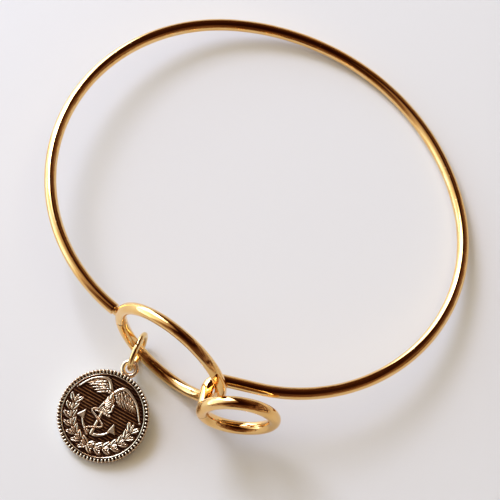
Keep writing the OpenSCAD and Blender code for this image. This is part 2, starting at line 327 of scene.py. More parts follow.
def wire_tree(add):
    """Round wire along the edges of the object's mesh. The swell of each point scales the wire there."""
    start, end = add("NodeGroupInput"), add("NodeGroupOutput")

    def stored(geometry, name, value, kind="FLOAT"):
        return add("GeometryNodeStoreNamedAttribute", Geometry=geometry, Name=name, Value=value,
                   data_type=kind).outputs[0]

    def named(name, kind="FLOAT"):
        return add("GeometryNodeInputNamedAttribute", Name=name, data_type=kind).outputs["Attribute"]

    curve = add("GeometryNodeMeshToCurve", Mesh=start.outputs["Path"])
    along = stored(curve.outputs[0], "along", add("GeometryNodeSplineParameter").outputs["Length"])
    scale = add.maths("MULTIPLY", named("swell"), start.outputs["Wire Radius"])
    profile = add("GeometryNodeCurvePrimitiveCircle", Resolution=start.outputs["Sides"], Radius=1.0)
    ring = stored(profile.outputs[0], "round", add("GeometryNodeInputPosition").outputs[0], "FLOAT_VECTOR")
    mesh = add("GeometryNodeCurveToMesh", {"Curve": along, "Profile Curve": ring, "Scale": scale,
                                          "Fill Caps": True})
    size = add.vectors("SCALE", named("round", "FLOAT_VECTOR"), scale=start.outputs["Wire Radius"])
    parts = add("ShaderNodeSeparateXYZ", Vector=size)
    unrolled = add("ShaderNodeCombineXYZ", X=named("along"), Y=parts.outputs["X"], Z=parts.outputs["Y"])
    whole = stored(mesh.outputs[0], "unrolled", unrolled.outputs[0], "FLOAT_VECTOR")
    dress(add, add("GeometryNodeSetShadeSmooth", Geometry=whole).outputs[0], start, end)


def round_tree(add):
    """Repeats the object's mesh round the Z axis, each copy turned to point away from it."""
    start, end = add("NodeGroupInput"), add("NodeGroupOutput")
    circle = add("GeometryNodeMeshCircle", Vertices=start.outputs["Count"], Radius=start.outputs["Radius"])
    spot = add("GeometryNodeInputPosition")
    parts = add("ShaderNodeSeparateXYZ", Vector=spot.outputs[0])
    euler = add("ShaderNodeCombineXYZ", Z=add.maths("ARCTAN2", parts.outputs["Y"], parts.outputs["X"]))
    rotation = add("FunctionNodeEulerToRotation", Euler=euler.outputs[0])
    copies = add("GeometryNodeInstanceOnPoints", Points=circle.outputs[0], Instance=start.outputs["Tooth"],
                 Rotation=rotation.outputs[0])
    dress(add, copies.outputs[0], start, end)


def geometry_tree(name, build, **sockets):
    """A geometry node tree with one input for each keyword."""
    if name in bpy.data.node_groups:
        return bpy.data.node_groups[name]
    tree = bpy.data.node_groups.new(name, "GeometryNodeTree")
    tree.interface.new_socket("Geometry", in_out="OUTPUT", socket_type="NodeSocketGeometry")
    for key, kind in sockets.items():
        tree.interface.new_socket(key.replace("_", " "), in_out="INPUT", socket_type="NodeSocket" + kind)
    build(Plumber(tree))
    return tree


def grow(name, mesh, tree, **inputs):
    """The plain mesh that a tree makes of a mesh."""
    carrier = stand(name, mesh)
    maker = carrier.modifiers.new(tree.name, "NODES")
    maker.node_group = tree
    for item in tree.interface.items_tree:
        if item.in_out == "INPUT" and item.name.replace(" ", "_") in inputs:
            maker[item.identifier] = inputs[item.name.replace(" ", "_")]
    depsgraph = bpy.context.evaluated_depsgraph_get()
    made = bpy.data.meshes.new_from_object(carrier.evaluated_get(depsgraph))
    carrier.modifiers.remove(maker)
    bpy.data.objects.remove(carrier)
    if not made.polygons:
        raise RuntimeError(f"{name}: the node tree made no faces")
    made.name = name
    return made


# Meshes

@contextmanager
def edited(mesh):
    """The mesh opened for edits, then closed with its faces turned out and smooth."""
    shape = bmesh.new()
    shape.from_mesh(mesh)
    yield shape
    bmesh.ops.recalc_face_normals(shape, faces=shape.faces)
    shape.to_mesh(mesh)
    shape.free()
    mesh.shade_smooth()


def cap(shape):
    """Closes the open edges of a shape with flat faces."""
    bmesh.ops.holes_fill(shape, edges=[e for e in shape.edges if e.is_boundary])


def mark(mesh, name, values):
    """Gives each point of a mesh a value, under a name that the materials and trees read."""
    mesh.attributes.new(name, "FLOAT", "POINT").data.foreach_set("value", np.asarray(values, np.float32))


def wire_mesh(name, points, swell, closed, diameter, sides, material):
    """Round wire through points, thicker or thinner by the swell at each of them."""
    path = bpy.data.meshes.new(name + "_path")
    n = len(points)
    edges = [(i, i + 1) for i in range(n - 1)] + ([(n - 1, 0)] if closed else [])
    path.from_pydata([tuple(p) for p in points], edges, [])
    mark(path, "swell", swell)
    tree = geometry_tree("round_wire", wire_tree, Path="Geometry", Wire_Radius="Float", Sides="Int",
                         Material="Material")
    return grow(name, path, tree, Wire_Radius=diameter / 2, Sides=sides, Material=material)


def seamed_ring(name, place, radius, diameter, seam_at, seam_width, seam_depth, sides, material, step=0.0002):
    """A wire ring in the XZ plane of its own place, with a fine groove where its ends meet."""
    shares = np.array([-1.25, -0.8, -0.5, -0.2, 0.2, 0.5, 0.8, 1.25])
    depths = np.array([0, 0.12, 0.65, 1, 1, 0.65, 0.12, 0])
    near = shares * seam_width / 2 / radius
    n = int((TURN - near[-1] * 2) * radius / step)
    far = np.linspace(near[-1], TURN + near[0], n + 1)[1:-1]
    turns = np.concatenate([near[4:], far, near[:4] + TURN]) + seam_at
    dents = np.concatenate([depths[4:], 0 * far, depths[:4]]) * seam_depth
    points = [place @ Vector((radius * math.cos(t), 0, radius * math.sin(t))) for t in turns]
    return wire_mesh(name, points, 1 - dents * 2 / diameter, True, diameter, sides, material)


def grid_mesh(name, rows, closed_rows=True, closed_round=True):
    """A mesh of quads through rows of points."""
    rows = np.asarray(rows, float)
    m, n = rows.shape[:2]
    last_row, last = (m if closed_rows else m - 1), (n if closed_round else n - 1)
    faces = [(i * n + j, i * n + (j + 1) % n, (i + 1) % m * n + (j + 1) % n, (i + 1) % m * n + j)
             for i in range(last_row) for j in range(last)]
    mesh = bpy.data.meshes.new(name)
    mesh.from_pydata(rows.reshape(-1, 3).tolist(), [], faces)
    return mesh


def outward(mesh):
    """Merges doubles and turns every face out."""
    with edited(mesh) as shape:
        bmesh.ops.remove_doubles(shape, verts=shape.verts, dist=1e-7)
    return mesh


def lathe(name, profile, rounds, wobble=None):
    """A closed turned shape about the Z axis from (radius, height) pairs that begin and end on the axis."""
    turns = np.linspace(0, TURN, rounds, endpoint=False)
    rows = []
    for i, (r, z) in enumerate(profile[1:-1]):
        rr = r * (1 + (wobble(turns, i) if wobble else 0 * turns))
        rows.append(np.stack([rr * np.cos(turns), rr * np.sin(turns), z + 0 * turns], -1))
    mesh = grid_mesh(name, rows, closed_rows=False)
    with edited(mesh) as shape:
        spots = list(shape.verts)
        for loop, (_, z) in ((spots[:rounds], profile[0]), (spots[-rounds:], profile[-1])):
            hub = shape.verts.new((0, 0, z))
            for a, b in zip(loop, loop[1:] + loop[:1]):
                shape.faces.new((a, b, hub))
    return outward(mesh)


def solder(name, ring_c, ring_r, ring_wire, radial, away, tail_radius, fillet):
    """Solder in the corner where a round tail, going away from a ring's wire, stands on it: a closed
    strip with a hollow face. Its edges end just under both surfaces."""
    side = np.cross(radial, UP)
    rho = ring_wire / 2
    away = away / np.linalg.norm(away)
    across = np.cross(UP, away)
    foot = ring_c + ring_r * radial
    sunk, deep, least = 0.99, 0.8, 0.45

    def on_wire(s, theta, rise):
        bent = math.cos(s / ring_r) * radial + math.sin(s / ring_r) * UP
        out = math.cos(theta) * away + math.sin(theta) * across
        out = (out @ radial) * bent + (out @ side) * side
        return ring_c + ring_r * bent + rise * out

    rows = []
    for phi in np.linspace(0, TURN, 64, endpoint=False):
        c, s = math.cos(phi), math.sin(phi)
        theta = math.copysign(math.asin(min(1.0, abs(tail_radius * c / rho))), c)
        reach = fillet * (least + (1 - least) * s * s)
        on_tail = foot + tail_radius * sunk * (c * across + s * UP) + (rho * math.cos(theta) + reach) * away
        corner = on_wire(tail_radius * s, theta, rho)
        on_ring = on_wire(tail_radius * s + reach * s, theta + reach / rho * c, rho * sunk)
        inside = on_wire(tail_radius * s * deep, theta * deep, rho * deep)
        rows.append([(1 - t) ** 2 * on_tail + 2 * t * (1 - t) * corner + t * t * on_ring
                     for t in np.linspace(0, 1, 7)] + [inside])
    return outward(grid_mesh(name, rows))


# The coin's relief

def ease(x, low, high):
    """A soft step from 0 to 1."""
    t = np.clip((x - low) / (high - low), 0, 1)
    return t * t * (3 - 2 * t)


class Relief:
    """Heights over the coin's field. Each shape lies over those before it, with a fine groove round it.
    Places are shares of the coin's radius, with the bail at the top."""

    def __init__(self, radius, reach, grid):
        self.radius = radius
        self.n = int(2 * reach / grid) + 1
        line = (np.arange(self.n) - (self.n - 1) / 2) * grid / MM
        self.x, self.y = np.meshgrid(line, line, indexing="ij")
        self.h = np.zeros_like(self.x)

    def stamp(self, inside, top, edge=0.07):
        """Lays a shape: inside is the distance in from its outline, in millimetres."""
        groove, depth = 0.06, 0.6
        self.h *= 1 - depth * np.exp(-np.clip(-inside, 0, None) ** 2 / groove ** 2) * (inside < 0)
        share = ease(inside, -0.01, edge)
        self.h = self.h * (1 - share) + top * share

    def local(self, place, turn):
        """Coordinates from a place, with the first axis turned by an angle in degrees."""
        a = math.radians(turn)
        dx, dy = self.x - place[0] * self.radius, self.y - place[1] * self.radius
        return dx * math.cos(a) + dy * math.sin(a), dy * math.cos(a) - dx * math.sin(a)

    def blade(self, place, long, wide, turn, height, vein, barbs=0.0, blunt=1.0, groove=0.045):
        """A leaf or feather that grows from a place."""
        long, wide = long * self.radius, wide * self.radius
        u, v = self.local(place, turn)
        t = np.clip(u / long, 0, 1)
        half = wide / 2 * np.sin(math.pi * t ** blunt) ** 0.75
        inside = np.where((u < 0) | (u > long), -np.hypot(np.minimum(u, long - u), v), half - np.abs(v))
        dome = np.clip(1 - (v / np.maximum(half, 1e-3)) ** 2, 0, 1)
        top = height * (0.3 + 0.7 * dome)
        top = top * (1 - vein * np.exp(-(v / groove) ** 2))
        if barbs:
            slant, pitch, quill = 1.2, 0.2, 0.05
            comb = 0.5 + 0.5 * np.cos((u - slant * np.abs(v)) * TURN / pitch)
            top = top - barbs * comb * (np.abs(v) > quill)
        self.stamp(inside, top)

    def stroke(self, points, wide, height, taper=(1.0, 1.0), twist=0.0):
        """A raised line with a round back through places. Its ends can taper, and a twist makes it a rope."""
        pts = np.array(points) * self.radius
        wide = wide * self.radius
        total = sum(np.linalg.norm(q - p) for p, q in zip(pts, pts[1:]))
        best, at = np.full_like(self.x, 1e9), np.zeros_like(self.x)
        sign = np.zeros_like(self.x)
        run = 0.0
        for p, q in zip(pts, pts[1:]):
            d = q - p
            size = np.linalg.norm(d)
            d = d / size
            t = np.clip((self.x - p[0]) * d[0] + (self.y - p[1]) * d[1], 0, size)
            ex, ey = self.x - p[0] - t * d[0], self.y - p[1] - t * d[1]
            gap = np.hypot(ex, ey)
            near = gap < best
            best, at = np.where(near, gap, best), np.where(near, (run + t) / total, at)
            sign = np.where(near, ey * d[0] - ex * d[1], sign)
            run += size
        half = wide / 2 * (taper[0] + (taper[1] - taper[0]) * at)
        top = height * np.sqrt(np.clip(1 - (best / np.maximum(half, 1e-3)) ** 2, 0, 1))
        if twist:
            top = top * (0.72 + 0.28 * np.cos((at * total + 0.9 * sign) * TURN / twist))
        self.stamp(half - best, top, edge=0.05)

    def plate(self, corners, height):
        """A raised convex plate with sloping edges."""
        bevel = 0.16
        pts = np.array(corners) * self.radius
        centre = pts.mean(0)
        inside = np.full_like(self.x, 1e9)
        for p, q in zip(pts, np.roll(pts, -1, 0)):
            d = (q - p) / np.linalg.norm(q - p)
            n = np.array([-d[1], d[0]])
            n = n if (centre - p) @ n > 0 else -n
            inside = np.minimum(inside, (self.x - p[0]) * n[0] + (self.y - p[1]) * n[1])
        self.stamp(inside, height * (0.45 + 0.55 * ease(inside, 0, bevel)))

    def egg(self, place, long, wide, turn, height, scales=0.0):
        """A domed oval, with rows of scales where it is feathered."""
        u, v = self.local(place, turn)
        a, b = long * self.radius / 2, wide * self.radius / 2
        k = np.hypot(u / a, v / b)
        top = height * np.sqrt(np.clip(1 - 0.8 * k * k, 0, 1))
        if scales:
            deep, broad = 0.3, 0.34
            row = np.floor(u / deep)
            rim = np.hypot((u / deep - row) - 0.1, ((v / broad + 0.5 * (row % 2)) % 1) - 0.5)
            top = top - scales * ease(rim, 0.35, 0.6)
        self.stamp((1 - k) * min(a, b), top)


def curve_through(points, steps=24):
    """A smooth line through places."""
    pts = np.array([points[0], *points, points[-1]], float)
    line = []
    for i in range(1, len(pts) - 2):
        p0, p1, p2, p3 = pts[i - 1:i + 3]
        for t in np.linspace(0, 1, steps // (len(pts) - 3) + 2)[:-1]:
            line.append(0.5 * (2 * p1 + (p2 - p0) * t + (2 * p0 - 5 * p1 + 4 * p2 - p3) * t * t
                               + (3 * p1 - p0 - 3 * p2 + p3) * t ** 3))
    return line + [pts[-1]]


def polar(r, degrees):
    """A place on the coin's face from its distance and direction."""
    return np.array([r * math.cos(math.radians(degrees)), r * math.sin(math.radians(degrees))])


def laurel(relief, side):
    """One spray of laurel up the side of the coin, with berries between the leaves. Its lowest leaves
    cross those of the other spray."""
    pitch = 14.6
    stem = [polar(0.70, 270 + side * (6 + pitch * i)) for i in range(7)]
    relief.stroke(stem, 0.035, 0.16, taper=(1.2, 0.6))
    for i in range(-1, 6):
        a = 270 + side * (13 + pitch * i)
        p = polar(0.69, a)
        relief.egg(p + polar(0.075, a - side * 40), 0.05, 0.05, 0, 0.2)
        for way in (-1, 1):
            relief.blade(p, 0.25, 0.115, a + side * 90 + way * 36, 0.30, vein=0.7, groove=0.1)
        relief.blade(p, 0.22, 0.07, a + side * 96, 0.30, vein=0.6)


def anchor(relief):
    """The anchor: shank, stock, and curved arms with flukes."""
    crown, head = np.array([-0.04, -0.44]), np.array([-0.05, 0.16])
    bend, thin, thick = 0.36, 0.5, 1.15
    middle = crown + [0, bend]
    arms = [middle + polar(bend, a) for a in range(200, 341, 7)]
    half = len(arms) // 2
    relief.stroke(arms[:half + 1], 0.085, 0.34, taper=(thin, thick))
    relief.stroke(arms[half:], 0.085, 0.34, taper=(thick, thin))
    for side in (-1, 1):
        tip = middle + polar(0.37, 270 + side * 74)
        turn = math.radians(side * 18)
        corners = [(0.11 * side, -0.10), (-0.10 * side, -0.04), (0.035 * side, 0.16)]
        relief.plate([tip + [x * math.cos(turn) - y * math.sin(turn), x * math.sin(turn) + y * math.cos(turn)]
                      for x, y in corners], 0.34)
    relief.stroke([[-0.24, 0.05], [0.13, 0.06]], 0.07, 0.32)
    relief.stroke([crown, head], 0.075, 0.36, taper=(1.2, 0.85))


def rope(relief):
    """The rope that winds about the shank."""
    line = [[-0.07 - 0.21 * math.sin(math.radians(520 * t)) * (1 - 0.4 * t), 0.12 - 0.62 * t]
            for t in np.linspace(0, 1, 40)]
    relief.stroke(line, 0.055, 0.40, twist=0.26)


WINGS = ((((-0.07, 0.53), (-0.28, 0.74), (-0.57, 0.61), (-0.76, 0.33)), (208, 228)),
         (((-0.02, 0.54), (0.15, 0.72), (0.50, 0.57), (0.75, 0.27)), (318, 306)))


def wing(relief, bones, trail):
    """A spread wing: long feathers first, then two rows of short ones, then the arm along its front."""
    arm = curve_through(bones, 30)

    def along(t):
        k = t * (len(arm) - 1)
        i = min(int(k), len(arm) - 2)
        return arm[i] + (k - i) * (arm[i + 1] - arm[i])

    for total, share, wide, height in ((15, 1.0, 0.06, 0.27), (12, 0.62, 0.055, 0.30), (9, 0.3, 0.05, 0.32)):
        for i in range(total):
            t = (i + 0.4) / total
            long = share * (0.55 - 0.7 * abs(t - 0.33))
            turn = trail[0] + (trail[1] - trail[0]) * t
            relief.blade(along(t), long, wide, turn, height, vein=0.35, barbs=0.03, blunt=1.25)
    relief.stroke(arm, 0.085, 0.38, taper=(1.1, 0.55))


def bird(relief):
    """The bird over the anchor: tail, legs, wings, feathered body, and its head turned aside."""
    for a in (-36, -18, 0, 18, 36):
        relief.blade((-0.01, 0.24), 0.21, 0.065, 270 + a, 0.28, vein=0.4, barbs=0.03)
    for x in (-0.09, 0.08):
        relief.stroke([[x, 0.30], [x * 1.5, 0.17], [x * 1.3 - 0.03, 0.10]], 0.05, 0.33, taper=(1.4, 0.7))
    for bones, trail in WINGS:
        wing(relief, bones, trail)
    relief.egg((-0.015, 0.33), 0.34, 0.20, 96, 0.40, scales=0.09)
    relief.stroke(curve_through([(-0.02, 0.42), (-0.05, 0.50), (-0.10, 0.52)]), 0.10, 0.40, taper=(1.1, 0.9))
    relief.egg((-0.12, 0.515), 0.12, 0.09, 185, 0.40)
    relief.stroke([(-0.16, 0.51), (-0.205, 0.485)], 0.05, 0.33, taper=(1.1, 0.2))


def coin_relief(coin):
    """The whole relief, in millimetres over the field, with the lined ground and the shoulder inside the
    teeth."""
    reach = coin.across / 2 - coin.tooth_length
    relief = Relief(coin.across / 2 / MM, reach, coin.grid)
    line_height, shoulder_height, web = 0.09, 0.3, 0.07
    relief.h += line_height * (0.5 + 0.5 * np.cos(TURN * relief.y / (coin.ground_pitch / MM))) ** 2
    r = np.hypot(relief.x, relief.y)
    foot = (reach - coin.shoulder) / MM - web
    for side in (-1, 1):
        laurel(relief, side)
    anchor(relief)
    rope(relief)
    bird(relief)
    relief.stamp(r - foot, shoulder_height * ease(r - foot, 0, 0.3), edge=0.04)
    return relief


def blurred(h, cells):
    """A soft copy of a height field, from a few passes of a box."""
    for _ in range(3):
        for axis in (0, 1):
            margins = [(cells, cells) if a == axis else (0, 0) for a in (0, 1)]
            total = np.cumsum(np.insert(np.pad(h, margins, mode="edge"), 0, 0, axis), axis)
            wide = 2 * cells + 1
            top = np.take(total, range(wide, total.shape[axis]), axis)
            h = (top - np.take(total, range(total.shape[axis] - wide), axis)) / wide
    return h


def face_mesh(name, coin, relief):
    """The coin's face as a closed plate: the relief on top, a flat bottom sunk in the blank. It is worn
    bright on high places and crests, and stays toned on steep slopes."""
    field, sunk, margin = coin.thick - coin.field_drop, 0.2 * MM, 0.06 * MM
    inside = np.hypot(relief.x, relief.y) < (coin.across / 2 - coin.tooth_length - margin) / MM
    index = -np.ones(inside.shape, int)
    index[inside] = np.arange(inside.sum())
    co = np.stack([relief.x[inside] * MM, relief.y[inside] * MM, field + relief.h[inside] * MM], -1)
    a, b, c, d = index[:-1, :-1], index[1:, :-1], index[1:, 1:], index[:-1, 1:]
    whole = (a >= 0) & (b >= 0) & (c >= 0) & (d >= 0)
    faces = np.stack([a[whole], b[whole], c[whole], d[whole]], -1)
    used = np.unique(faces)
    renumber = -np.ones(len(co), int)
    renumber[used] = np.arange(len(used))
    mesh = bpy.data.meshes.new(name)
    mesh.from_pydata(co[used].tolist(), [], renumber[faces].tolist())
    height = relief.h[inside][used]
    crest = (relief.h - blurred(relief.h, 4))[inside][used]
    steep = np.hypot(*np.gradient(relief.h, coin.grid / MM))[inside][used]
    worn = np.clip(0.1 + 0.7 * ease(height, 0.05, 0.2) + crest * 4.0 - 0.55 * ease(steep, 0.6, 1.5), 0, 1)
    mark(mesh, "worn", worn)
    with edited(mesh) as shape:
        rim = [e for e in shape.edges if e.is_boundary]
        made = bmesh.ops.extrude_edge_only(shape, edges=rim)["geom"]
        for v in (g for g in made if isinstance(g, bmesh.types.BMVert)):
            v.co.z = field - sunk
        cap(shape)
    return mesh


def blank_mesh(name, coin, blank_r):
    """The round blank: flat back, rounded edge, and the land that carries the teeth."""
    land = coin.thick - coin.tooth_height
    inner = coin.across / 2 - coin.tooth_length - 0.14 * MM
    bed = coin.thick - coin.field_drop - 0.3 * MM
    soft = [math.radians(a) for a in range(0, 91, 15)]
    big, small = 0.22 * MM, 0.08 * MM
    profile = [(0, 0), (blank_r * 0.5, 0)]
    profile += [(blank_r - big + big * math.sin(a), big - big * math.cos(a)) for a in soft]
    profile += [(blank_r, z) for z in np.linspace(big, land - small, 6)[1:-1]]
    profile += [(blank_r - small + small * math.cos(a), land - small + small * math.sin(a)) for a in soft]
    profile += [(inner + small - small * math.sin(a), land - small + small * math.cos(a)) for a in soft]
    profile += [(inner, bed), (0, bed)]
    mesh = lathe(name, profile, rounds=256)
    co = np.zeros(len(mesh.vertices) * 3)
    mesh.vertices.foreach_get("co", co)
    co = co.reshape(-1, 3)
    r, z = np.hypot(co[:, 0], co[:, 1]), co[:, 2]
    mark(mesh, "worn", np.where(z > land - 2 * small, 0.12 + 0.5 * ease(r, blank_r - small, blank_r), 0.9))
    return mesh


def tooth_mesh(name, coin):
    """One tooth of the milled rim, a cushion with soft edges that lies along the X axis."""
    long, wide = coin.tooth_length, 0.36 * MM
    tall = coin.tooth_height + 0.06 * MM
    rows, worn = [], []
    for u in np.linspace(-1, 1, 11):
        ring = []
        for v in np.linspace(-1, 1, 9):
            share = (1 - 0.2 * u * u - 0.8 * u ** 8) * (1 - 0.3 * v * v - 0.7 * v ** 6)
            ring.append((u * long / 2, v * wide / 2 * (0.95 + 0.05 * u), coin.thick - tall * (1 - share)))
            worn.append(0.1 + 0.9 * ease(share, 0.3, 0.9))
        rows.append(ring)
    mesh = grid_mesh(name, rows, closed_rows=False, closed_round=False)
    mark(mesh, "worn", worn)
    with edited(mesh) as shape:
        cap(shape)
    return mesh


# Finishes

def polish_marks():
    """Node group: fine polishing lines, a soft haze and hair scratches, from coordinates in metres whose
    first axis runs along the wipe."""
    name = "polish_marks"
    if name in bpy.data.node_groups:
        return bpy.data.node_groups[name]
    tree = bpy.data.node_groups.new(name, "ShaderNodeTree")
    for key, kind in (("Vector", "Vector"), ("Line Width", "Float"), ("Stretch", "Float")):
        tree.interface.new_socket(key, in_out="INPUT", socket_type="NodeSocket" + kind)
    for key in ("Lines", "Haze", "Scratches"):
        tree.interface.new_socket(key, in_out="OUTPUT", socket_type="NodeSocketFloat")
    haze_scale, bend_scale, bend, cell_scale, cut_width, gap_scale = 0.035, 0.02, 14.0, 0.045, 0.012, 0.11
    add = Plumber(tree)
    start, end = add("NodeGroupInput"), add("NodeGroupOutput")
    fine = add.maths("DIVIDE", 1.0, start.outputs["Line Width"])
    scaled = add.vectors("SCALE", start.outputs["Vector"], scale=fine)
    parts = add("ShaderNodeSeparateXYZ", Vector=scaled)
    slow = add.maths("DIVIDE", parts.outputs["X"], start.outputs["Stretch"])
    wiped = add("ShaderNodeCombineXYZ", X=slow, Y=parts.outputs["Y"], Z=parts.outputs["Z"])
    add.join(add.noise(wiped.outputs[0], 1.0, 3.0, Roughness=0.6), end.inputs["Lines"])
    add.join(add.ramp(add.noise(scaled, haze_scale, 2.0), 0.42, 0.7), end.inputs["Haze"])
    bent = add("ShaderNodeTexNoise", Vector=scaled, Scale=bend_scale, Detail=1.0)
    moved = add.vectors("ADD", scaled, add.vectors("SCALE", bent.outputs["Color"], scale=bend))
    cells = add("ShaderNodeTexVoronoi", Vector=moved, Scale=cell_scale, feature="DISTANCE_TO_EDGE")
    cut = add.ramp(cells.outputs["Distance"], 0.0, cut_width, 1.0, 0.0)
    kept = add.ramp(add.noise(scaled, gap_scale, 1.0), 0.52, 0.6)
    add.join(add.maths("MULTIPLY", cut, kept), end.inputs["Scratches"])
    return tree


class Metal:
    """A metallic material that is being built, with polishing marks of its own."""

    def __init__(self, name, line_width, stretch, unrolled):
        self.material = bpy.data.materials.new(name)
        self.material.use_nodes = True
        self.add = Plumber(self.material.node_tree)
        self.sockets = self.material.node_tree.nodes["Principled BSDF"].inputs
        if unrolled:
            self.spot = self.add("ShaderNodeAttribute", attribute_name="unrolled").outputs["Vector"]
        else:
            self.spot = self.add("ShaderNodeTexCoord").outputs["Object"]
        group = self.add("ShaderNodeGroup", node_tree=polish_marks())
        for key, value in (("Vector", self.spot), ("Line Width", line_width), ("Stretch", stretch)):
            self.add.join(value, group.inputs[key])
        self.lines, self.haze, self.scratches = (group.outputs[key] for key in ("Lines", "Haze", "Scratches"))

    def set(self, key, value):
        self.add.join(value, self.sockets[key])

    def dent(self, height, distance):
        """Fine relief of the surface, from a height and its full depth in metres."""
        bump = self.add("ShaderNodeBump", Height=height, Strength=1.0, Distance=distance)
        self.set("Normal", bump.outputs[0])


def plated(name, rgb, smooth, hazy, unrolled=True):
    """Polished gold plate with wiping marks along the wire, a few hair scratches and a soft haze."""
    if name in bpy.data.materials:
        return bpy.data.materials[name]
    line_width, stretch, mark_depth, toning = 0.12 * MM, 40.0, 0.006 * MM, 1.25
    scratch_dull, scratch_cut = 0.12, 0.6
    metal = Metal(name, line_width, stretch, unrolled)
    add = metal.add
    metal.set("Base Color", add.blend(metal.haze, [c ** toning for c in rgb], rgb))
    metal.set("Metallic", 1.0)
    rough = add.ramp(metal.haze, 0.0, 1.0, smooth, hazy)
    metal.set("Roughness", add.maths("MULTIPLY_ADD", metal.scratches, scratch_dull, rough))
    metal.dent(add.maths("MULTIPLY_ADD", metal.scratches, -scratch_cut, metal.lines), mark_depth)
    return metal.material


def antique(name, finish):
    """Antiqued gold: dark patina in the hollows, toned slopes, rubbed bright tops, with casting grain."""
    if name in bpy.data.materials:
        return bpy.data.materials[name]
    line_width, stretch, grain_scale, grain_depth = 0.16 * MM, 3.0, 2600.0, 0.012 * MM
    ragged, toned_from, rubbed_from = 0.34, (0.2, 0.42), (0.5, 0.82)
    dull, bright, rubbed_metal, haze_dull = 0.28, 0.09, 0.84, 0.08
    metal = Metal(name, line_width, stretch, unrolled=False)
    add = metal.add
    worn = add("ShaderNodeAttribute", attribute_name="worn").outputs["Fac"]
    grain = add.noise(metal.spot, grain_scale, 3.0)
    stray = add.maths("MULTIPLY_ADD", grain, ragged, -ragged / 2)
    rub = add.maths("ADD", worn, stray, use_clamp=True)
    high = add.ramp(rub, *rubbed_from)
    toned = add.blend(add.ramp(rub, *toned_from), finish.coin_dark, finish.coin_brown)
    metal.set("Base Color", add.blend(high, toned, finish.coin_gold))
    rough = add.ramp(high, 0.0, 1.0, dull, bright)
    metal.set("Roughness", add.maths("MULTIPLY_ADD", metal.haze, haze_dull, rough))
    metal.set("Metallic", add.ramp(high, 0.0, 1.0, 1.0, rubbed_metal))
    metal.dent(add.maths("MULTIPLY_ADD", metal.scratches, -1.0, grain), grain_depth)
    return metal.material


def gold():
    return plated("polished_plate", tuple(bpy.context.scene.bangle_finish.gold), 0.02, 0.07)


# Pieces and stage

def piece(name, mesh, node, material=None, place=None):
    """A finished piece: its mesh in the shared frame, riding on the root and standing for a CAD node."""
    if place is not None:
        mesh.transform(place)
    if material is not None:
        mesh.materials.clear()
        mesh.materials.append(material)
    made = stand(name, mesh)
    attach(made, "root")
    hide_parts(node)
    return made


class BANGLE_OT_hoop(bpy.types.Operator):
    """Bends the hoop and its hook from one wire, from the cut end at the eye ring to the pull ring"""
    bl_idname = "bangle.hoop"
    bl_label = "Hoop and Hook"

    def execute(self, context):
        spots, hoop = lay_out(), context.scene.bangle_hoop
        line = spots.hoop_line + spots.hook_line
        start, way = line[0], (line[1] - line[0]) / np.linalg.norm(line[1] - line[0])
        filed_at, filed_swell = (0.03, 0.08, 0.16), (0.86, 0.95, 0.99)
        line = [start] + [start + way * d * MM for d in filed_at] + line[1:]
        swell = np.ones(len(line))
        swell[:3] = filed_swell
        mesh = wire_mesh("hoop_and_hook", line, swell, False, hoop.wire, 64, gold())
        piece("hoop_and_hook", mesh, "bangle", place=spots.bench)
        return {"FINISHED"}


class BANGLE_OT_rings(bpy.types.Operator):
    """Bends the eye ring and the pull ring, each with a fine seam where its ends meet"""
    bl_idname = "bangle.rings"
    bl_label = "Eye Ring and Pull Ring"

    def execute(self, context):
        spots, clasp = lay_out(), context.scene.bangle_clasp
        tail_share = (context.scene.bangle_hoop.wire / 2 + clasp.seam_width) / spots.pull_r
        pull_seam = math.pi + math.asin(tail_share) + math.radians(1)
        for name, centre, heading, radius, wire, seam_at in (
                ("eye_ring", spots.eye_c, spots.eye_heading, spots.eye_r, clasp.eye_wire, clasp.eye_seam),
                ("pull_ring", spots.pull_c, clasp.pull_heading, spots.pull_r, clasp.pull_wire, pull_seam)):
            place = Matrix.Translation(Vector(centre)) @ Matrix.Rotation(heading, 4, "Z")
            mesh = seamed_ring(name, place, radius, wire, seam_at, clasp.seam_width, clasp.seam_depth, 64,
                               gold())
            piece(name, mesh, "bangle", place=spots.bench)
        return {"FINISHED"}


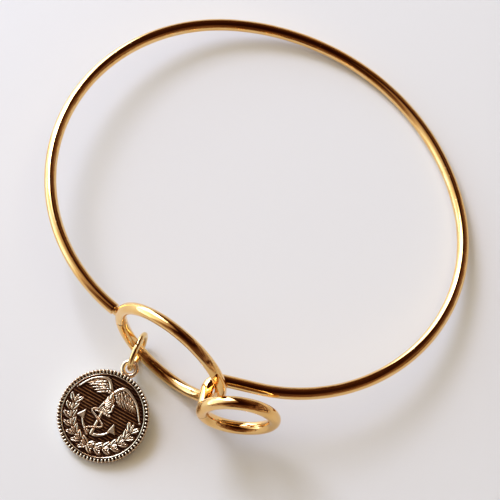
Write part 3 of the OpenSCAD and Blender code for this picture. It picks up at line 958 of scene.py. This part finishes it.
class BANGLE_OT_solder(bpy.types.Operator):
    """Runs solder into the joints: the narrow weld at the eye ring and the corner at the pull ring"""
    bl_idname = "bangle.solder"
    bl_label = "Weld and Solder"

    def execute(self, context):
        spots, clasp = lay_out(), context.scene.bangle_clasp
        radial = -flat(spots.eye_heading)
        metal = plated("soldered_plate", tuple(context.scene.bangle_finish.gold), 0.12, 0.2, unrolled=False)
        radius, bare, start, swell = clasp.weld / 2, clasp.eye_wire / 2 + clasp.weld_gap, 0.25 * MM, 0.07 * MM
        bulge, uneven, ripple = 0.18, 0.03, 0.02
        wave_a, wave_b = np.random.default_rng(7).uniform(0, TURN, 4)[:2]
        heights = np.linspace(0, bare + 0.35 * MM, 26)[1:-1]
        profile = [(0, start)]
        profile += [(radius * (1 + bulge * math.exp(-abs(bare - z) / swell)), start + z) for z in heights]
        profile += [(0, bare + 0.5 * MM)]
        neck = lathe("weld", profile, 48, lambda t, i: (uneven * np.sin(2 * t + wave_a)
                                                        + ripple * np.sin(3 * t + wave_b + i / 3)))
        turned = Vector(radial).to_track_quat("Z", "Y").to_matrix().to_4x4()
        neck.transform(Matrix.Translation(Vector(spots.eye_c + spots.eye_r * radial)) @ turned)
        fillet = solder("weld_fillet", spots.eye_c, spots.eye_r, clasp.eye_wire, radial, radial, radius,
                        clasp.fillet * 0.7)
        pull = solder("pull_fillet", spots.pull_c, spots.pull_r, clasp.pull_wire, -flat(clasp.pull_heading),
                      -spots.tail_way, context.scene.bangle_hoop.wire / 2, clasp.fillet)
        for name, mesh in (("weld", neck), ("weld_fillet", fillet), ("pull_fillet", pull)):
            piece(name, mesh, "bangle", metal, spots.bench)
        return {"FINISHED"}


class BANGLE_OT_jump_ring(bpy.types.Operator):
    """Bends the jump ring that carries the coin, with its cut at the side"""
    bl_idname = "bangle.jump_ring"
    bl_label = "Jump Ring"

    def execute(self, context):
        spots, jump, clasp = lay_out(), context.scene.bangle_jump_ring, context.scene.bangle_clasp
        metal = plated("pale_plate", tuple(context.scene.bangle_finish.pale_gold), 0.08, 0.18)
        cut_at, fine = math.radians(118), 0.7
        mesh = seamed_ring("jump_ring_wire", spots.jump, spots.jump_r, jump.wire, cut_at,
                           clasp.seam_width * fine, clasp.seam_depth * fine, 40, metal, 0.15 * MM)
        piece("jump_ring_wire", mesh, "jump_ring")
        return {"FINISHED"}


class BANGLE_OT_coin(bpy.types.Operator):
    """Casts the coin: blank, face with its relief, milled teeth and bail"""
    bl_idname = "bangle.coin"
    bl_label = "Coin Charm"

    def execute(self, context):
        spots, coin = lay_out(), context.scene.bangle_coin
        metal = antique("antiqued_coin", context.scene.bangle_finish)
        tree = geometry_tree("ring_of_teeth", round_tree, Tooth="Geometry", Count="Int", Radius="Float",
                             Material="Material")
        loop_r = (coin.bail_bore + coin.bail_wire) / 2
        loop = [(loop_r * math.cos(t), spots.bail_reach + loop_r * math.sin(t), coin.thick / 2)
                for t in np.linspace(0, TURN, 96, endpoint=False)]
        bail = wire_mesh("coin_bail", loop, np.ones(len(loop)), True, coin.bail_wire, 32, metal)
        mark(bail, "worn", np.full(len(bail.vertices), 0.74))
        teeth = grow("coin_teeth", tooth_mesh("tooth", coin), tree, Count=coin.teeth, Material=metal,
                     Radius=(coin.across - coin.tooth_length) / 2)
        for name, mesh in (
                ("coin_face", face_mesh("coin_face", coin, coin_relief(coin))),
                ("coin_blank", blank_mesh("coin_blank", coin, spots.blank_r)),
                ("coin_teeth", teeth),
                ("coin_bail", bail)):
            piece(name, mesh, "charm", metal, spots.coin)
        return {"FINISHED"}


class BANGLE_OT_stage(bpy.types.Operator):
    """Lays the table, hangs the lights and sets the camera"""
    bl_idname = "bangle.stage"
    bl_label = "Table, Lights and Camera"

    def execute(self, context):
        scene, sizes = context.scene, context.scene.bangle_stage
        far = 3.0
        mesh = bpy.data.meshes.new("table")
        mesh.from_pydata([(-far, -far, 0), (far, -far, 0), (far, far, 0), (-far, far, 0)], [], [(0, 1, 2, 3)])
        table = stand("table", mesh)
        material = bpy.data.materials.new("table_top")
        material.use_nodes = True
        paint = material.node_tree.nodes["Principled BSDF"].inputs
        paint["Base Color"].default_value = (*sizes.table, 1.0)
        paint["Roughness"].default_value = 0.4
        mesh.materials.append(material)
        self.lights(scene, sizes)

        lens = bpy.data.cameras.new("camera")
        lens.lens, lens.sensor_width, lens.clip_start = sizes.lens, 36.0, 0.01
        camera = stand("camera", lens)
        ahead = Vector((0, math.cos(sizes.elevation), -math.sin(sizes.elevation)))
        aim = Vector((-1.349, -1.878, 0)) * MM
        camera.location = aim - sizes.distance * ahead
        camera.rotation_euler = (math.pi / 2 - sizes.elevation, 0, 0)
        scene.camera = camera
        scene.view_settings.view_transform = "Standard"
        return {"FINISHED"}

    def lights(self, scene, sizes):
        """A cool window light from the upper left and a broad warm light overhead."""
        for name, azimuth, rise, distance, wide, tall, power, tint in (
                ("window", 124, 43, 0.55, 0.24, 0.18, sizes.window, (0.60, 0.64, 0.82)),
                ("overhead", 90, 84, 0.8, 0.9, 0.9, sizes.fill, (1.0, 0.84, 0.52))):
            lamp = bpy.data.lights.new(name, "AREA")
            lamp.shape, lamp.size, lamp.size_y, lamp.energy, lamp.color = "RECTANGLE", wide, tall, power, tint
            light = stand(name, lamp)
            e = math.radians(rise)
            back = Vector(flat(math.radians(azimuth)) * math.cos(e) + UP * math.sin(e))
            light.location = back * distance
            light.rotation_euler = back.to_track_quat("Z", "Y").to_euler()
            light.visible_glossy = name == "window"
        self.room(scene)

    def room(self, scene):
        """A dim warm room with a window wall to the upper left. The wall has a crisp right edge and a bright
        pane, and fades upwards and towards the left."""
        pane_at, wall_at = 112, 190
        world = bpy.data.worlds.new("room")
        scene.world = world
        world.use_nodes = True
        add = Plumber(world.node_tree)

        def slope(value, low, high, top):
            return add.ramp(value, low, high, end=top, interpolation_type="SMOOTHSTEP")

        def toward(degrees):
            return add("ShaderNodeVectorMath", {0: ahead, 1: flat(math.radians(degrees))},
                       operation="DOT_PRODUCT").outputs["Value"]

        way = add("ShaderNodeTexCoord").outputs["Generated"]
        rise = add("ShaderNodeSeparateXYZ", Vector=way).outputs["Z"]
        ahead = add.vectors("NORMALIZE", add.vectors("MULTIPLY", way, (1.0, 1.0, 0.0)))
        sunk = add.maths("SUBTRACT", 1.0, rise, use_clamp=True)
        glow = add.maths("MULTIPLY", slope(toward(pane_at), -0.1, 0.4, 1.7), add.maths("POWER", sunk, 0.5))
        pane = add.maths("MULTIPLY", slope(toward(pane_at), 0.8, 0.98, 2.6), slope(sunk, 0.11, 0.16, 1.0))
        near = slope(toward(wall_at), -0.02, 0.08, 1.0)
        ends = add.maths("ABSOLUTE", toward(0))
        clutter = slope(add.noise(add.vectors("MULTIPLY", way, (1.0, 1.0, 4.0)), 2.4, 2.0), 0.44, 0.56, 1.0)
        dim = add.maths("MULTIPLY", add.maths("POWER", sunk, 1.5),
                        add.maths("MULTIPLY_ADD", ends, 0.25, 0.24))
        dim = add.maths("MULTIPLY", dim, add.maths("MULTIPLY_ADD", clutter, 1.5, 0.22))
        light = add.maths("ADD", add.maths("MULTIPLY_ADD", glow, near, 0.015), dim)
        warm = add("ShaderNodeCombineColor", Red=light, Green=add.maths("POWER", light, 1.4),
                   Blue=add.maths("POWER", light, 1.7)).outputs[0]
        cool = add.vectors("SCALE", (1.0, 1.1, 1.35), scale=add.maths("MULTIPLY", pane, near))
        add.join(add.vectors("ADD", warm, cool), world.node_tree.nodes["Background"].inputs["Color"])


class BANGLE_PT_panel(bpy.types.Panel):
    """Lists the sizes and the steps of the bangle"""
    bl_idname = "BANGLE_PT_panel"
    bl_label = "Charm Bangle"
    bl_space_type = "VIEW_3D"
    bl_region_type = "UI"
    bl_category = "Bangle"

    def draw(self, context):
        for key, group in GROUPS.items():
            box = self.layout.box()
            box.label(text=group.__doc__)
            for field in group.__annotations__:
                box.prop(getattr(context.scene, key), field)
        for operator in OPERATORS:
            self.layout.operator(operator.bl_idname)


OPERATORS = (BANGLE_OT_hoop, BANGLE_OT_rings, BANGLE_OT_solder, BANGLE_OT_jump_ring, BANGLE_OT_coin,
             BANGLE_OT_stage)


def register():
    for group in (*GROUPS.values(), *OPERATORS, BANGLE_PT_panel):
        bpy.utils.register_class(group)
    for key, group in GROUPS.items():
        setattr(bpy.types.Scene, key, bpy.props.PointerProperty(type=group))


def unregister():
    for key in GROUPS:
        delattr(bpy.types.Scene, key)
    for group in (BANGLE_PT_panel, *OPERATORS, *GROUPS.values()):
        bpy.utils.unregister_class(group)


def main():
    register()
    bpy.ops.bangle.hoop()
    bpy.ops.bangle.rings()
    bpy.ops.bangle.solder()
    bpy.ops.bangle.jump_ring()
    bpy.ops.bangle.coin()
    bpy.ops.bangle.stage()


if __name__ == "__main__":
    main()
